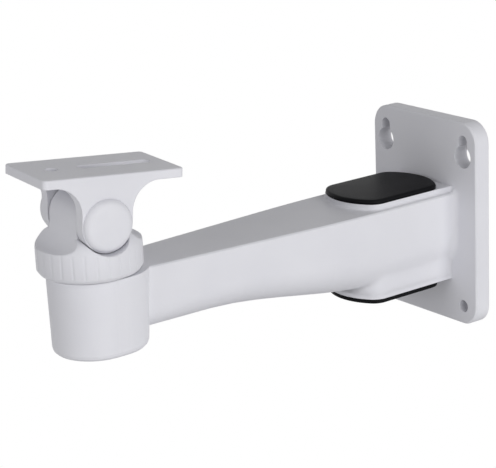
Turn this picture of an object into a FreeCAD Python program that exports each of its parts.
import FreeCAD, Part
import math
import os

from FreeCAD import Vector

# Cast aluminium wall bracket for a camera, in millimetres.
# The origin is the middle of the wall plate's back face, on the wall.
# The arm runs out along -Y, +X is to the right seen from the front, and +Z is up.
# The swivel head turns about an upright axis and the camera platform tilts on it.

# Wall plate
PLATE_WIDTH = 87.0
PLATE_HEIGHT = 120.0
PLATE_THICKNESS = 9.7
PLATE_CORNER_RADIUS = 12.0
PLATE_EDGE_BEVEL = 1.1
PLATE_FACE_WALL = 4.5
PLATE_RIM_WIDTH = 5.5
PLATE_RIB_WIDTH = 3.0
SCREW_SPACING_X = 65.0
SCREW_SPACING_Z = 98.0
SCREW_HOLE_DIAMETER = 7.0
SCREW_BOSS_WALL = 4.0
KEYHOLE_HEAD_DIAMETER = 13.0
KEYHOLE_DROP = 9.0

# Tapered beam of the arm
ARM_REACH = 239.3
BEAM_TOP = 18.0
BEAM_ROOT_WIDTH = 52.0
BEAM_PARALLEL_LENGTH = 54.0
BEAM_BEND_LENGTH = 62.0
BEAM_TAPER_SLOPE = 0.0775
BEAM_ROOT_HEIGHT = 49.0
BEAM_NECK_HEIGHT = 35.6
BELLY_RISE_LENGTH = 120.0
BELLY_FLAT_WIDTH = 6.0
BEAM_EDGE_BEVEL = 0.8
BEAM_WALL = 3.5
BEAM_ROOT_FILLET = 3.5
BEAM_SECTIONS = 13

# Upright cable tower at the root, closed by a plastic cap above and below
TOWER_WIDTH = 45.4
TOWER_END_DEPTH = 14.2
TOWER_CORNER_RADIUS = 9.8
TOWER_FRONT_BEND = 60.8
TOWER_REAR_BEND = 25.0
TOWER_TOP = 21.3
TOWER_BOTTOM = -34.3
TOWER_WALL = 3.4
TOWER_FOOT_RADIUS = 1.4
CAP_SETBACK = 0.35
CAP_THICKNESS = 3.1
CAP_EDGE_BEVEL = 0.9
CAP_SKIRT_DEPTH = 9.0
CAP_SKIRT_WALL = 1.8
CAP_SKIRT_GAP = 0.3
CAP_RIB_GAP = 0.05
CAP_RIB_WIDTH = 1.4
CAP_RIB_LENGTH = 7.2

# Cup at the end of the arm
CUP_TOP_WIDTH = 46.2
CUP_BOTTOM_WIDTH = 44.8
CUP_REAR_OFFSET = 8.6
CUP_REAR_DRAFT = 2.4
CUP_BOTTOM = -24.0
CUP_EDGE_RADIUS = 3.2
CUP_WALL = 3.8
CUP_DECK_THICKNESS = 8.0
DUCT_END_WALL = 5.0

# Swivel head
RING_RADIUS = 27.4
RING_GAP = 0.35
RING_BEVEL_WIDTH = 3.8
RING_BEVEL_HEIGHT = 4.2
RING_BEVEL_BREAK = 1.1
RING_WALL_TOP = 34.0
RING_DOME_RADIUS = 8.3
RING_DOME_BANDS = 8
RING_FLUTE_COUNT = 28
RING_FLUTE_WIDTH = 0.9
RING_FLUTE_DEPTH = 0.3
LUG_RADIUS = 13.6
LUG_FOOT_RADIUS = 6.0
LUG_FOOT_SECTIONS = 7
LUG_FOOT_SINK = 0.15
CHEEK_CLEARANCE = 1.2
PIVOT_HEIGHT = 47.1

# Camera platform
PLATFORM_LENGTH = 78.5
PLATFORM_WIDTH = 45.1
PLATFORM_THICKNESS = 4.7
PLATFORM_RISE = 25.6
PLATFORM_REARWARD = 4.0
PLATFORM_CORNER_RADIUS = 2.5
PLATFORM_EDGE_BEVEL = 0.5
EAR_THICKNESS = 6.65
EAR_RADIUS = 14.1
EAR_FOOT_RADIUS = 15.0
EAR_GAP_TO_LUG = 0.7
CAMERA_HOLE_DIAMETER = 7.0
CAMERA_HOLE_FORWARD = 20.0
CAMERA_SLOT_LENGTH = 41.3
CAMERA_SLOT_REARWARD = 15.1

# Tilt fastening and its covers
TILT_BOLT_DIAMETER = 8.0
TILT_NECK_SHORTFALL = 0.2
TILT_HEAD_DIAMETER = 17.0
TILT_HEAD_HEIGHT = 4.2
TILT_HEAD_RIM = 1.2
TILT_NUT_ACROSS = 13.0
TILT_NUT_HEIGHT = 4.0
TILT_WASHER_DIAMETER = 16.0
TILT_WASHER_THICKNESS = 1.6
TILT_SPRING_THICKNESS = 2.0
TILT_SPRING_DIAMETER = 13.6
EAR_POCKET_DIAMETER = 22.0
EAR_POCKET_DEPTH = 3.65
COVER_DIAMETER = 27.2
COVER_WALL = 1.4
COVER_SKIRT_WALL = 1.2
COVER_SKIRT_DEPTH = 3.0
COVER_SKIRT_GAP = 0.1
BOLT_SIDE_COVER_HEIGHT = 3.6
NUT_SIDE_COVER_HEIGHT = 6.2
COVER_EDGE_WIDTH = 2.2
COVER_EDGE_HEIGHT = 2.4
COVER_EDGE_BREAK = 0.8
PIVOT_WASHER_DIAMETER = 24.0

# Pan fastening inside the cup
PAN_BOLT_DIAMETER = 10.0
PAN_HEAD_ACROSS = 16.0
PAN_HEAD_HEIGHT = 6.4
PAN_WASHER_DIAMETER = 20.0
PAN_WASHER_THICKNESS = 2.0
PAN_SPRING_THICKNESS = 2.5
PAN_SPRING_DIAMETER = 17.2
PAN_BOLT_TOP = 36.0
PAN_HOLE_SPARE = 2.0
FRICTION_RING_OUTER = 21.0
FRICTION_RING_INNER = 8.0
FRICTION_RING_THICKNESS = 1.5

# Clearances
RUNNING_CLEARANCE = 0.08
SEAT_CLEARANCE = 0.05
SPRING_SPLIT = 2.0
HEXAGON_TRIM_SLOPE = 0.6

# Posture in which the head is stored
REST_PAN = -4.8
REST_NOSE_UP = 5.1

X_AXIS = Vector(1, 0, 0)
Y_AXIS = Vector(0, 1, 0)
Z_AXIS = Vector(0, 0, 1)
TOUCH = 0.01


# Small helpers

def straight(start, end):
    return Part.LineSegment(start, end).toShape()


def arc_through(start, middle, end):
    return Part.Arc(start, middle, end).toShape()


def prism(wire, direction):
    return Part.Face(wire).extrude(direction)


def closed_polygon(points):
    return Part.makePolygon(points + points[:1])


def centred_box(size_x, size_y, size_z, centre):
    corner = centre - Vector(size_x, size_y, size_z) * 0.5
    return Part.makeBox(size_x, size_y, size_z, corner)


def fuse_all(shapes):
    return shapes[0].multiFuse(shapes[1:]).removeSplitter()


def only_solid(shape):
    """The single solid of a finished piece, without its wrapping compound."""
    assert len(shape.Solids) == 1, "a piece fell apart"
    return shape.Solids[0]


def turned_profile(points):
    """A solid of revolution about Z from (radius, height) points that start and end on the axis."""
    outline = [Vector(radius, 0, height) for radius, height in points]
    return Part.Face(closed_polygon(outline)).revolve(Vector(), Z_AXIS, 360)


def flat_ring(outer_radius, inner_radius, thickness, base_centre=Vector()):
    ring = Part.makeCylinder(outer_radius, thickness, base_centre)
    return ring.cut(Part.makeCylinder(inner_radius, thickness, base_centre))


def split_ring(outer_radius, inner_radius, thickness, base_centre=Vector()):
    """A spring lock washer, tightened flat: a ring with one gap."""
    gap_centre = base_centre + Vector(outer_radius, 0, thickness / 2)
    gap = centred_box(outer_radius * 2, SPRING_SPLIT, thickness * 2, gap_centre)
    return flat_ring(outer_radius, inner_radius, thickness, base_centre).cut(gap)


def hexagon_prism(across_flats, height):
    """A hexagon on the plane z = 0, with its points trimmed by a cone at the top."""
    radius = across_flats / 2 / math.cos(math.pi / 6)
    corners = []
    for index in range(6):
        angle = math.pi / 3 * index
        corners.append(Vector(radius * math.cos(angle), radius * math.sin(angle), 0))
    blank = prism(closed_polygon(corners), Vector(0, 0, height))
    trim_drop = radius - across_flats / 2
    trim = turned_profile([(0, 0), (radius, 0), (radius, height - trim_drop * HEXAGON_TRIM_SLOPE),
                           (across_flats / 2, height), (0, height)])
    return blank.common(trim)


def rounded_rectangle(width, height, radius, y):
    """An upright rectangle in the plane at y, with round corners."""
    x = width / 2 - radius
    z = height / 2 - radius
    cut = radius * math.cos(math.pi / 4)
    arcs = []
    for side_x, side_z in ((1, 1), (1, -1), (-1, -1), (-1, 1)):
        outer_x = Vector(side_x * (x + radius), y, side_z * z)
        outer_z = Vector(side_x * x, y, side_z * (z + radius))
        middle = Vector(side_x * (x + cut), y, side_z * (z + cut))
        ends = (outer_z, outer_x) if side_x * side_z > 0 else (outer_x, outer_z)
        arcs.append((ends[0], middle, ends[1]))
    edges = []
    for index, (start, middle, end) in enumerate(arcs):
        edges.append(arc_through(start, middle, end))
        edges.append(straight(end, arcs[(index + 1) % len(arcs)][0]))
    return Part.Wire(edges)


def blunt_end(inset, y, side, z):
    """Three arcs that close the tower's outline beyond y; side is 1 at the rear, -1 in front."""
    half = TOWER_WIDTH / 2 - inset
    depth = TOWER_END_DEPTH - inset
    corner = TOWER_CORNER_RADIUS - inset
    corner_x = half - corner
    crown = (corner_x ** 2 + depth ** 2 - corner ** 2) / (2 * (depth - corner))
    crown_y = y + side * (depth - crown)
    towards = Vector(corner_x, side * (crown - depth), 0)
    towards.normalize()
    touch = Vector(0, crown_y, z) + towards * crown
    bend = Vector(1, 0, 0) + towards
    bend.normalize()
    corner_middle = Vector(corner_x, y, z) + bend * corner
    first_corner = [Vector(half, y, z), corner_middle, touch]
    last_corner = [Vector(-point.x, point.y, z) for point in reversed(first_corner)]
    arcs = [first_corner, [touch, Vector(0, y + side * depth, z), last_corner[0]], last_corner]
    if side < 0:
        arcs = [list(reversed(points)) for points in reversed(arcs)]
    return [arc_through(*points) for points in arcs]


def long_round(inset, front, rear, z):
    """The tower's flat outline: straight sides from y = rear to y = front and two blunt ends."""
    half = TOWER_WIDTH / 2 - inset
    edges = blunt_end(inset, rear, 1, z)
    edges.append(straight(Vector(-half, rear, z), Vector(-half, front, z)))
    edges.extend(blunt_end(inset, front, -1, z))
    edges.append(straight(Vector(half, front, z), Vector(half, rear, z)))
    return Part.Wire(edges)


def upright_to_pivot(shape, side=1):
    """Turn a piece that was built along +Z so that it lies along the pivot, towards one side."""
    turned = shape.copy()
    turned.rotate(Vector(), Y_AXIS, 90 * side)
    return turned


def place_on_head(shape):
    """From the head's own frame, on the pan axis, to the row's frame."""
    placed = shape.copy()
    placed.rotate(Vector(), Z_AXIS, REST_PAN)
    placed.translate(Vector(0, -ARM_REACH, 0))
    return placed


def place_on_platform(shape):
    """From the platform's level frame, about the pivot, to the row's frame."""
    placed = shape.copy()
    placed.rotate(Vector(), X_AXIS, -REST_NOSE_UP)
    placed.translate(Vector(0, 0, PIVOT_HEIGHT))
    return place_on_head(placed)


# The arm casting: wall plate, tapered beam, cable tower and cup in one piece

def smooth_step(value):
    value = min(max(value, 0.0), 1.0)
    return value * value * (3 - 2 * value)


def beam_half_width(distance):
    """Parallel at the root, then a gentle bend, then a straight taper."""
    past_parallel = max(distance - BEAM_PARALLEL_LENGTH, 0.0)
    in_bend = min(past_parallel, BEAM_BEND_LENGTH)
    past_bend = past_parallel - in_bend
    bend_radius = BEAM_BEND_LENGTH / BEAM_TAPER_SLOPE
    return BEAM_ROOT_WIDTH / 2 - in_bend ** 2 / (2 * bend_radius) - past_bend * BEAM_TAPER_SLOPE


def beam_belly(distance):
    """Height of the underside, which rises from the root to the neck in one smooth curve."""
    share = smooth_step((distance - BEAM_PARALLEL_LENGTH) / BELLY_RISE_LENGTH)
    return BEAM_TOP - BEAM_ROOT_HEIGHT - (BEAM_NECK_HEIGHT - BEAM_ROOT_HEIGHT) * share


def beam_section(distance):
    """A flat top, upright sides and a full rounded belly, at one distance from the wall."""
    half = beam_half_width(distance)
    belly = beam_belly(distance)
    corner = half - BELLY_FLAT_WIDTH / 2
    bevel = BEAM_EDGE_BEVEL
    y = -distance
    top = [Vector(-half, y, BEAM_TOP - bevel), Vector(-half + bevel, y, BEAM_TOP),
           Vector(half - bevel, y, BEAM_TOP), Vector(half, y, BEAM_TOP - bevel)]
    spring = belly + corner
    flat = half - corner
    reach = corner * math.cos(math.pi / 4)
    edges = [straight(start, end) for start, end in zip(top, top[1:])]
    edges.append(straight(top[3], Vector(half, y, spring)))
    edges.append(arc_through(Vector(half, y, spring), Vector(flat + reach, y, spring - reach),
                             Vector(flat, y, belly)))
    edges.append(straight(Vector(flat, y, belly), Vector(-flat, y, belly)))
    edges.append(arc_through(Vector(-flat, y, belly), Vector(-flat - reach, y, spring - reach),
                             Vector(-half, y, spring)))
    edges.append(straight(Vector(-half, y, spring), top[0]))
    return Part.Wire(edges)


def beam_root():
    start = beam_section(PLATE_THICKNESS / 2)
    return prism(start, Vector(0, PLATE_THICKNESS / 2 - BEAM_PARALLEL_LENGTH, 0))


def beam_taper():
    end = ARM_REACH - CUP_REAR_OFFSET
    step = (end - BEAM_PARALLEL_LENGTH) / (BEAM_SECTIONS - 1)
    sections = [beam_section(BEAM_PARALLEL_LENGTH + step * index) for index in range(BEAM_SECTIONS)]
    return Part.makeLoft(sections, True, True)


def duct_section(distance):
    """The cable duct has the beam's outline less its wall, with plain flats at the corners."""
    half = beam_half_width(distance) - BEAM_WALL
    top = BEAM_TOP - BEAM_WALL
    belly = beam_belly(distance) + BEAM_WALL
    corner = half - BELLY_FLAT_WIDTH / 2
    flat = half - corner
    reach = corner * math.cos(math.pi / 4)
    y = -distance
    right = [Vector(half, y, top), Vector(half, y, belly + corner),
             Vector(flat + reach, y, belly + corner - reach), Vector(flat, y, belly)]
    left = [Vector(-point.x, y, point.z) for point in reversed(right)]
    return closed_polygon(right + left)


def cable_duct():
    end = ARM_REACH - CUP_REAR_OFFSET - CUP_TOP_WIDTH / 2 + CUP_WALL - DUCT_END_WALL
    bend_end = BEAM_PARALLEL_LENGTH + BEAM_BEND_LENGTH
    rise_end = BEAM_PARALLEL_LENGTH + BELLY_RISE_LENGTH
    places = [0.0, BEAM_PARALLEL_LENGTH, bend_end, rise_end, end]
    return Part.makeLoft([duct_section(distance) for distance in places], True, True)


def cup_outline(half_width, rear_centre, z):
    """A round front on the pan axis, short straight sides and a round rear."""
    front = -ARM_REACH
    edges = [
        arc_through(Vector(-half_width, front, z), Vector(0, front - half_width, z),
                    Vector(half_width, front, z)),
        straight(Vector(half_width, front, z), Vector(half_width, rear_centre, z)),
        arc_through(Vector(half_width, rear_centre, z), Vector(0, rear_centre + half_width, z),
                    Vector(-half_width, rear_centre, z)),
        straight(Vector(-half_width, rear_centre, z), Vector(-half_width, front, z)),
    ]
    return Part.Wire(edges)


def cup_level(z, inset):
    """The tapered cup's outline at one height, drawn in by inset."""
    share = (BEAM_TOP - z) / (BEAM_TOP - CUP_BOTTOM)
    half = (CUP_TOP_WIDTH + (CUP_BOTTOM_WIDTH - CUP_TOP_WIDTH) * share) / 2
    rear = -ARM_REACH + CUP_REAR_OFFSET - CUP_REAR_DRAFT * share
    return cup_outline(half - inset, rear, z)


def cup_outer():
    """The outside, with its bottom edge rounded off in three narrow bands."""
    bands = []
    for turn in (0, 30, 60, 90):
        height = CUP_EDGE_RADIUS * (1 - math.cos(math.radians(turn)))
        inset = CUP_EDGE_RADIUS * (1 - math.sin(math.radians(turn)))
        bands.append(cup_level(CUP_BOTTOM + height, inset))
    bands.append(cup_level(BEAM_TOP, 0.0))
    return Part.makeLoft(bands, True, True)


def cup_cavity():
    deck = BEAM_TOP - CUP_DECK_THICKNESS
    return Part.makeLoft([cup_level(CUP_BOTTOM, CUP_WALL), cup_level(deck, CUP_WALL)], True, True)


def tower_outer():
    """Straight-walled shaft with a blunt front; its rear runs into the wall plate."""
    half = TOWER_WIDTH / 2
    rise = Vector(0, 0, TOWER_TOP - TOWER_BOTTOM)
    rear = -PLATE_THICKNESS / 2
    edges = blunt_end(0.0, -TOWER_FRONT_BEND, -1, TOWER_BOTTOM)
    corners = [Vector(half, -TOWER_FRONT_BEND, TOWER_BOTTOM), Vector(half, rear, TOWER_BOTTOM),
               Vector(-half, rear, TOWER_BOTTOM), Vector(-half, -TOWER_FRONT_BEND, TOWER_BOTTOM)]
    edges.extend(straight(start, end) for start, end in zip(corners, corners[1:]))
    return prism(Part.Wire(edges), rise)


def tower_bore():
    outline = long_round(TOWER_WALL, -TOWER_FRONT_BEND, -TOWER_REAR_BEND, TOWER_BOTTOM)
    return prism(outline, Vector(0, 0, TOWER_TOP - TOWER_BOTTOM))


def screw_places():
    half_x = SCREW_SPACING_X / 2
    half_z = SCREW_SPACING_Z / 2
    return [(half_x, half_z), (-half_x, half_z), (half_x, -half_z), (-half_x, -half_z)]


def plate_hole(x, z):
    """A plain round hole below, and a keyhole above."""
    front = Vector(x, -PLATE_THICKNESS, z)
    hole = Part.makeCylinder(SCREW_HOLE_DIAMETER / 2, PLATE_THICKNESS, front, Y_AXIS)
    if z < 0:
        return hole
    drop = Vector(0, 0, KEYHOLE_DROP)
    head = Part.makeCylinder(KEYHOLE_HEAD_DIAMETER / 2, PLATE_THICKNESS, front - drop, Y_AXIS)
    middle = Vector(x, -PLATE_THICKNESS / 2, z - KEYHOLE_DROP / 2)
    neck = centred_box(SCREW_HOLE_DIAMETER, PLATE_THICKNESS, KEYHOLE_DROP, middle)
    return fuse_all([hole, head, neck])


def screw_boss(x, z):
    """The post of full thickness that is left around each screw hole."""
    across = SCREW_HOLE_DIAMETER + 2 * SCREW_BOSS_WALL
    drop = 0.0
    if z > 0:
        across = KEYHOLE_HEAD_DIAMETER + 2 * SCREW_BOSS_WALL
        drop = KEYHOLE_DROP
    middle = Vector(x, -PLATE_THICKNESS / 2, z - drop / 2)
    return centred_box(across, PLATE_THICKNESS, across + drop, middle)


def plate_pocket():
    """The hollow cast into the plate's back, less what stays standing in it."""
    depth = PLATE_THICKNESS - PLATE_FACE_WALL
    width = PLATE_WIDTH - 2 * PLATE_RIM_WIDTH
    height = PLATE_HEIGHT - 2 * PLATE_RIM_WIDTH
    outline = rounded_rectangle(width, height, PLATE_CORNER_RADIUS - PLATE_RIM_WIDTH, -depth)
    pocket = prism(outline, Vector(0, depth, 0))
    standing = [screw_boss(x, z) for x, z in screw_places()]
    standing.append(prism(beam_section(0.0), Vector(0, -PLATE_THICKNESS, 0)))
    middle = Vector(0, -PLATE_THICKNESS / 2, 0)
    standing.append(centred_box(PLATE_RIB_WIDTH, PLATE_THICKNESS, PLATE_HEIGHT, middle))
    standing.append(centred_box(PLATE_WIDTH, PLATE_THICKNESS, PLATE_RIB_WIDTH, middle))
    return pocket.cut(standing[0].multiFuse(standing[1:]))


def wall_plate():
    outline = rounded_rectangle(PLATE_WIDTH, PLATE_HEIGHT, PLATE_CORNER_RADIUS, 0.0)
    plate = prism(outline, Vector(0, -PLATE_THICKNESS, 0))
    front_edges = [edge for edge in plate.Edges if edge.BoundBox.YMax < -PLATE_THICKNESS + TOUCH]
    return plate.makeChamfer(PLATE_EDGE_BEVEL, front_edges)


def is_beam_foot(edge):
    """True for the edges where the beam meets the plate's face."""
    box = edge.BoundBox
    on_face = abs(box.YMax + PLATE_THICKNESS) < TOUCH and abs(box.YMin + PLATE_THICKNESS) < TOUCH
    return on_face and max(box.XMax, -box.XMin) < BEAM_ROOT_WIDTH / 2 + TOUCH


def is_tower_foot(edge):
    """True for the edges where the tower's rim rises from the beam's top."""
    box = edge.BoundBox
    on_top = abs(box.ZMax - BEAM_TOP) < TOUCH and abs(box.ZMin - BEAM_TOP) < TOUCH
    front = -TOWER_FRONT_BEND - TOWER_END_DEPTH
    return on_top and max(box.XMax, -box.XMin) < TOWER_WIDTH / 2 + TOUCH and box.YMin > front - TOUCH


def arm_casting():
    root = wall_plate().fuse(beam_root()).removeSplitter()
    root = root.makeFillet(BEAM_ROOT_FILLET, [edge for edge in root.Edges if is_beam_foot(edge)])
    body = root.fuse([beam_taper(), tower_outer(), cup_outer()]).removeSplitter()
    body = body.makeFillet(TOWER_FOOT_RADIUS, [edge for edge in body.Edges if is_tower_foot(edge)])
    bolt_way = Part.makeCylinder(PAN_BOLT_DIAMETER / 2 + RUNNING_CLEARANCE, CUP_DECK_THICKNESS,
                                 Vector(0, -ARM_REACH, BEAM_TOP - CUP_DECK_THICKNESS))
    hollows = [cable_duct(), tower_bore(), cup_cavity(), bolt_way, plate_pocket()]
    hollows.extend(plate_hole(x, z) for x, z in screw_places())
    return only_solid(body.cut(hollows))


# The two plastic caps of the cable tower

def cap_outline(inset, z):
    return long_round(inset, -TOWER_FRONT_BEND, -TOWER_REAR_BEND, z)


def cable_cap():
    """One cap in its own frame: its seat is the plane z = 0 and its skirt hangs down."""
    straight_part = prism(cap_outline(CAP_SETBACK, 0.0), Vector(0, 0, CAP_THICKNESS - CAP_EDGE_BEVEL))
    bevel = Part.makeLoft([cap_outline(CAP_SETBACK, CAP_THICKNESS - CAP_EDGE_BEVEL),
                           cap_outline(CAP_SETBACK + CAP_EDGE_BEVEL, CAP_THICKNESS)], True, True)
    inset = TOWER_WALL + CAP_SKIRT_GAP
    drop = Vector(0, 0, -CAP_SKIRT_DEPTH)
    skirt = prism(cap_outline(inset, 0.0), drop)
    skirt = skirt.cut(prism(cap_outline(inset + CAP_SKIRT_WALL, 0.0), drop))
    pieces = [straight_part, bevel, skirt]
    rib_x = TOWER_WIDTH / 2 - TOWER_WALL - CAP_RIB_GAP - CAP_RIB_WIDTH / 2
    for side in (-1, 1):
        for y in (-TOWER_FRONT_BEND, -TOWER_REAR_BEND):
            middle = Vector(side * rib_x, y, -CAP_RIB_LENGTH / 2)
            pieces.append(centred_box(CAP_RIB_WIDTH, CAP_RIB_WIDTH, CAP_RIB_LENGTH, middle))
    return only_solid(fuse_all(pieces))


def upper_cable_cap():
    cap = cable_cap()
    cap.translate(Vector(0, 0, TOWER_TOP))
    return cap


def lower_cable_cap():
    cap = cable_cap().mirror(Vector(), Z_AXIS)
    cap.translate(Vector(0, 0, TOWER_BOTTOM))
    return cap


# The swivel head, in its own frame on the pan axis

def lug_half_width():
    return PLATFORM_WIDTH / 2 - EAR_THICKNESS - EAR_GAP_TO_LUG


def ring_foot():
    return BEAM_TOP + RING_GAP


def ring_crown():
    return RING_WALL_TOP + RING_DOME_RADIUS


def ring_body():
    """Turned about the pan axis: a bevelled foot, an upright wall and a dome in narrow bands."""
    foot = ring_foot()
    points = [(0, foot), (RING_RADIUS - RING_BEVEL_WIDTH, foot),
              (RING_RADIUS - RING_BEVEL_BREAK, foot + RING_BEVEL_BREAK),
              (RING_RADIUS, foot + RING_BEVEL_HEIGHT)]
    for index in range(RING_DOME_BANDS + 1):
        turn = math.pi / 2 * index / RING_DOME_BANDS
        radius = RING_RADIUS - RING_DOME_RADIUS * (1 - math.cos(turn))
        points.append((radius, RING_WALL_TOP + RING_DOME_RADIUS * math.sin(turn)))
    points.append((0, ring_crown()))
    return turned_profile(points)


def ring_flutes():
    """Shallow upright grip grooves, evenly spaced round the wall."""
    low = ring_foot() + RING_BEVEL_HEIGHT
    height = RING_WALL_TOP - low
    middle = Vector(RING_RADIUS, 0, low + height / 2)
    flute = centred_box(2 * RING_FLUTE_DEPTH, RING_FLUTE_WIDTH, height, middle)
    flutes = []
    for index in range(RING_FLUTE_COUNT):
        turned = flute.copy()
        turned.rotate(Vector(), Z_AXIS, 360 / RING_FLUTE_COUNT * (index + 0.5))
        flutes.append(turned)
    return flutes


def tongue():
    """The upright lug between the ears: flat faces and a round top, sunk into the dome."""
    x = -lug_half_width()
    low = Vector(x, LUG_RADIUS, RING_WALL_TOP)
    high = Vector(x, LUG_RADIUS, PIVOT_HEIGHT)
    low_front = Vector(x, -LUG_RADIUS, RING_WALL_TOP)
    high_front = Vector(x, -LUG_RADIUS, PIVOT_HEIGHT)
    crest = Vector(x, 0, PIVOT_HEIGHT + LUG_RADIUS)
    edges = [arc_through(high_front, crest, high), straight(high, low), straight(low, low_front),
             straight(low_front, high_front)]
    return prism(Part.Wire(edges), Vector(lug_half_width() * 2, 0, 0))


def tongue_foot_section(x):
    """One arc of the foot: a ball that touches the tongue's rear face and rests on the dome."""
    ball = LUG_FOOT_RADIUS
    dome = RING_DOME_RADIUS - LUG_FOOT_SINK
    centre = Vector(x, LUG_RADIUS + ball, 0)
    distance = centre.Length
    overhang = max(distance - (RING_RADIUS - RING_DOME_RADIUS), 0.0)
    rise = math.sqrt((dome + ball) ** 2 - overhang ** 2)
    centre.z = RING_WALL_TOP + rise
    ball_share = ball / (dome + ball)
    plan_share = 1 - overhang * ball_share / distance
    on_tongue = Vector(x, LUG_RADIUS, centre.z)
    on_dome = Vector(x * plan_share, centre.y * plan_share, centre.z - rise * ball_share)
    inside = on_tongue + on_dome - centre
    towards = on_tongue + on_dome - centre * 2
    towards.normalize()
    arc = arc_through(on_tongue, centre + towards * ball, on_dome)
    return Part.Wire([arc, straight(on_dome, inside), straight(inside, on_tongue)])


def tongue_feet():
    """The hollow blends where the tongue's front and rear faces rise from the dome."""
    reach = lug_half_width() + LUG_FOOT_RADIUS / 2
    step = reach * 2 / (LUG_FOOT_SECTIONS - 1)
    sections = [tongue_foot_section(-reach + step * index) for index in range(LUG_FOOT_SECTIONS)]
    between_cheeks = centred_box(lug_half_width() * 2, RING_RADIUS * 2, PIVOT_HEIGHT,
                                 Vector(0, 0, PIVOT_HEIGHT))
    rear = Part.makeLoft(sections, True, True).common(between_cheeks)
    front = rear.copy()
    front.rotate(Vector(), Z_AXIS, 180)
    return [rear, front]


def cheek_cut(side):
    """Room beside the tongue for one ear to swing in."""
    base = Vector(side * lug_half_width(), 0, PIVOT_HEIGHT)
    return Part.makeCylinder(EAR_RADIUS + CHEEK_CLEARANCE, RING_RADIUS, base, X_AXIS * side)


def swivel_head():
    body = fuse_all([ring_body(), tongue()] + tongue_feet())
    foot = Vector(0, 0, ring_foot())
    seat_height = FRICTION_RING_THICKNESS - RING_GAP + SEAT_CLEARANCE
    hole_top = PAN_BOLT_TOP + PAN_HOLE_SPARE
    pivot_start = Vector(-lug_half_width(), 0, PIVOT_HEIGHT)
    hollows = [
        cheek_cut(-1),
        cheek_cut(1),
        Part.makeCylinder(FRICTION_RING_OUTER + SEAT_CLEARANCE, seat_height, foot),
        Part.makeCylinder(PAN_BOLT_DIAMETER / 2 + SEAT_CLEARANCE, hole_top - ring_foot(), foot),
        Part.makeCylinder(TILT_BOLT_DIAMETER / 2 + RUNNING_CLEARANCE, lug_half_width() * 2,
                          pivot_start, X_AXIS),
    ]
    hollows.extend(ring_flutes())
    return only_solid(place_on_head(body.cut(hollows)))


def pan_friction_ring():
    ring = flat_ring(FRICTION_RING_OUTER, FRICTION_RING_INNER, FRICTION_RING_THICKNESS,
                     Vector(0, 0, BEAM_TOP))
    return place_on_head(ring)


# The pan bolt and its washers, under the cup's deck

def pan_washer_top():
    return BEAM_TOP - CUP_DECK_THICKNESS - SEAT_CLEARANCE


def pan_spring_top():
    return pan_washer_top() - PAN_WASHER_THICKNESS


def pan_head_top():
    return pan_spring_top() - PAN_SPRING_THICKNESS


def pan_washer():
    washer = flat_ring(PAN_WASHER_DIAMETER / 2, PAN_BOLT_DIAMETER / 2 + SEAT_CLEARANCE,
                       PAN_WASHER_THICKNESS, Vector(0, 0, pan_spring_top()))
    return place_on_head(washer)


def pan_spring_washer():
    washer = split_ring(PAN_SPRING_DIAMETER / 2, PAN_BOLT_DIAMETER / 2 + SEAT_CLEARANCE,
                        PAN_SPRING_THICKNESS, Vector(0, 0, pan_head_top()))
    return only_solid(place_on_head(washer))


def pan_bolt():
    head = hexagon_prism(PAN_HEAD_ACROSS, PAN_HEAD_HEIGHT)
    head.rotate(Vector(), X_AXIS, 180)
    head.translate(Vector(0, 0, pan_head_top()))
    shank = Part.makeCylinder(PAN_BOLT_DIAMETER / 2, PAN_BOLT_TOP - pan_head_top(),
                              Vector(0, 0, pan_head_top()))
    return only_solid(place_on_head(head.fuse(shank).removeSplitter()))


# The camera platform and what rides on it, in the level frame about the pivot

def ear_inner_face():
    return PLATFORM_WIDTH / 2 - EAR_THICKNESS


def ear_outline(x):
    """A round lower end, straight edges, and wide concave feet that meet the plate's underside."""
    underside = PLATFORM_RISE - PLATFORM_THICKNESS
    reach = EAR_RADIUS + EAR_FOOT_RADIUS
    foot = underside - EAR_FOOT_RADIUS
    bend = EAR_FOOT_RADIUS * (1 - math.cos(math.pi / 4))
    roof = underside + PLATFORM_THICKNESS / 2
    edges = [arc_through(Vector(x, -EAR_RADIUS, 0), Vector(x, 0, -EAR_RADIUS), Vector(x, EAR_RADIUS, 0))]
    edges.append(straight(Vector(x, EAR_RADIUS, 0), Vector(x, EAR_RADIUS, foot)))
    edges.append(arc_through(Vector(x, EAR_RADIUS, foot),
                             Vector(x, EAR_RADIUS + bend, underside - bend),
                             Vector(x, reach, underside)))
    corners = [Vector(x, reach, underside), Vector(x, reach, roof), Vector(x, -reach, roof),
               Vector(x, -reach, underside)]
    edges.extend(straight(start, end) for start, end in zip(corners, corners[1:]))
    edges.append(arc_through(Vector(x, -reach, underside),
                             Vector(x, -EAR_RADIUS - bend, underside - bend),
                             Vector(x, -EAR_RADIUS, foot)))
    edges.append(straight(Vector(x, -EAR_RADIUS, foot), Vector(x, -EAR_RADIUS, 0)))
    return Part.Wire(edges)


def platform_plate():
    middle = Vector(0, PLATFORM_REARWARD, PLATFORM_RISE - PLATFORM_THICKNESS / 2)
    plate = centred_box(PLATFORM_WIDTH, PLATFORM_LENGTH, PLATFORM_THICKNESS, middle)
    upright = [edge for edge in plate.Edges if edge.BoundBox.ZLength > PLATFORM_THICKNESS / 2]
    plate = plate.makeFillet(PLATFORM_CORNER_RADIUS, upright)
    top_edges = [edge for edge in plate.Edges if edge.BoundBox.ZMin > PLATFORM_RISE - TOUCH]
    return plate.makeChamfer(PLATFORM_EDGE_BEVEL, top_edges)


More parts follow.
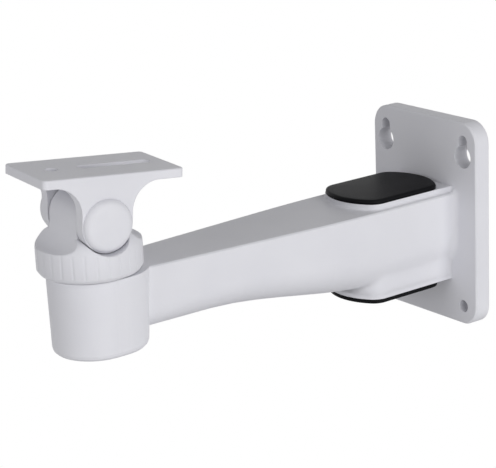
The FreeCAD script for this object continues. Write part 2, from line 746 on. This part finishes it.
def camera_slot():
    half = CAMERA_HOLE_DIAMETER / 2
    straight_length = CAMERA_SLOT_LENGTH - CAMERA_HOLE_DIAMETER
    low = PLATFORM_RISE - PLATFORM_THICKNESS
    middle = Vector(0, CAMERA_SLOT_REARWARD, low + PLATFORM_THICKNESS / 2)
    pieces = [centred_box(CAMERA_HOLE_DIAMETER, straight_length, PLATFORM_THICKNESS, middle)]
    for side in (-1, 1):
        end = Vector(0, CAMERA_SLOT_REARWARD + side * straight_length / 2, low)
        pieces.append(Part.makeCylinder(half, PLATFORM_THICKNESS, end))
    return fuse_all(pieces)


def camera_platform():
    outer = PLATFORM_WIDTH / 2
    nut_ear = prism(ear_outline(-outer), Vector(EAR_THICKNESS, 0, 0))
    bolt_ear = prism(ear_outline(ear_inner_face()), Vector(EAR_THICKNESS, 0, 0))
    body = fuse_all([platform_plate(), nut_ear, bolt_ear])
    pocket_radius = EAR_POCKET_DIAMETER / 2
    neck = TILT_BOLT_DIAMETER + SEAT_CLEARANCE * 2
    screw_hole_base = Vector(0, -CAMERA_HOLE_FORWARD, PLATFORM_RISE - PLATFORM_THICKNESS)
    hollows = [
        camera_slot(),
        Part.makeCylinder(CAMERA_HOLE_DIAMETER / 2, PLATFORM_THICKNESS, screw_hole_base),
        Part.makeCylinder(pocket_radius, EAR_POCKET_DEPTH, Vector(bolt_side_floor(), 0, 0), X_AXIS),
        Part.makeCylinder(pocket_radius, EAR_POCKET_DEPTH, Vector(-outer, 0, 0), X_AXIS),
        Part.makeCylinder(TILT_BOLT_DIAMETER / 2 + SEAT_CLEARANCE, EAR_THICKNESS,
                          Vector(-outer, 0, 0), X_AXIS),
        centred_box(EAR_THICKNESS * 2, neck, neck, Vector(outer, 0, 0)),
    ]
    return only_solid(place_on_platform(body.cut(hollows)))


def bolt_side_floor():
    return PLATFORM_WIDTH / 2 - EAR_POCKET_DEPTH


def on_nut_side(shape, start):
    """Place a piece built along +Z so that it runs outwards, start away from the middle."""
    turned = upright_to_pivot(shape, -1)
    turned.translate(Vector(-start, 0, 0))
    return only_solid(place_on_platform(turned))


def tilt_spring_start():
    return bolt_side_floor() + TILT_WASHER_THICKNESS


def tilt_nut_start():
    return tilt_spring_start() + TILT_SPRING_THICKNESS


def tilt_bolt_tip():
    return -(tilt_nut_start() + TILT_NUT_HEIGHT)


def tilt_bolt():
    """A coach bolt: a low head, a square neck and a round shank."""
    floor = bolt_side_floor()
    radius = TILT_HEAD_DIAMETER / 2
    head = turned_profile([(0, 0), (radius, 0), (radius, TILT_HEAD_RIM), (radius / 2, TILT_HEAD_HEIGHT),
                           (0, TILT_HEAD_HEIGHT)])
    head = upright_to_pivot(head)
    head.translate(Vector(floor, 0, 0))
    neck_length = EAR_THICKNESS - EAR_POCKET_DEPTH - TILT_NECK_SHORTFALL
    neck = centred_box(neck_length, TILT_BOLT_DIAMETER, TILT_BOLT_DIAMETER,
                       Vector(floor - neck_length / 2, 0, 0))
    shank = Part.makeCylinder(TILT_BOLT_DIAMETER / 2, floor - tilt_bolt_tip(),
                              Vector(tilt_bolt_tip(), 0, 0), X_AXIS)
    return only_solid(place_on_platform(fuse_all([head, neck, shank])))


def tilt_hole_radius():
    return TILT_BOLT_DIAMETER / 2 + SEAT_CLEARANCE


def tilt_washer():
    washer = flat_ring(TILT_WASHER_DIAMETER / 2, tilt_hole_radius(), TILT_WASHER_THICKNESS)
    return on_nut_side(washer, bolt_side_floor())


def tilt_spring_washer():
    washer = split_ring(TILT_SPRING_DIAMETER / 2, tilt_hole_radius(), TILT_SPRING_THICKNESS)
    return on_nut_side(washer, tilt_spring_start())


def tilt_nut():
    nut = hexagon_prism(TILT_NUT_ACROSS, TILT_NUT_HEIGHT)
    nut = nut.cut(Part.makeCylinder(tilt_hole_radius(), TILT_NUT_HEIGHT))
    return on_nut_side(nut, tilt_nut_start())


def pivot_cover(height):
    """A round snap-in cover built along +Z, with its seat at z = 0 and its skirt below."""
    radius = COVER_DIAMETER / 2
    skirt_radius = EAR_POCKET_DIAMETER / 2 - COVER_SKIRT_GAP
    inner_radius = skirt_radius - COVER_SKIRT_WALL
    return turned_profile([
        (inner_radius, height - COVER_WALL), (inner_radius, -COVER_SKIRT_DEPTH),
        (skirt_radius, -COVER_SKIRT_DEPTH), (skirt_radius, 0), (radius, 0),
        (radius, height - COVER_EDGE_HEIGHT), (radius - COVER_EDGE_BREAK, height - COVER_EDGE_BREAK),
        (radius - COVER_EDGE_WIDTH, height), (0, height), (0, height - COVER_WALL),
    ])


def bolt_side_cover():
    cover = upright_to_pivot(pivot_cover(BOLT_SIDE_COVER_HEIGHT))
    cover.translate(Vector(PLATFORM_WIDTH / 2, 0, 0))
    return only_solid(place_on_platform(cover))


def nut_side_cover():
    return on_nut_side(pivot_cover(NUT_SIDE_COVER_HEIGHT), PLATFORM_WIDTH / 2)


def pivot_washer():
    """A thin plastic friction washer that lies against an ear, just clear of the tongue."""
    return flat_ring(PIVOT_WASHER_DIAMETER / 2, tilt_hole_radius(), EAR_GAP_TO_LUG - SEAT_CLEARANCE)


def bolt_side_pivot_washer():
    washer = upright_to_pivot(pivot_washer())
    washer.translate(Vector(lug_half_width() + SEAT_CLEARANCE, 0, 0))
    return only_solid(place_on_platform(washer))


def nut_side_pivot_washer():
    return on_nut_side(pivot_washer(), lug_half_width() + SEAT_CLEARANCE)


PIECES = [
    arm_casting, upper_cable_cap, lower_cable_cap, pan_friction_ring,
    swivel_head, pan_bolt, pan_washer, pan_spring_washer,
    camera_platform, tilt_bolt, tilt_washer, tilt_spring_washer, tilt_nut,
    bolt_side_cover, nut_side_cover, bolt_side_pivot_washer, nut_side_pivot_washer,
]

os.makedirs("parts", exist_ok=True)
for make_piece in PIECES:
    solid = make_piece()
    solid.exportStep("parts/" + make_piece.__name__ + ".step")
    print(make_piece.__name__, "volume", round(solid.Volume, 1), "valid", solid.isValid())
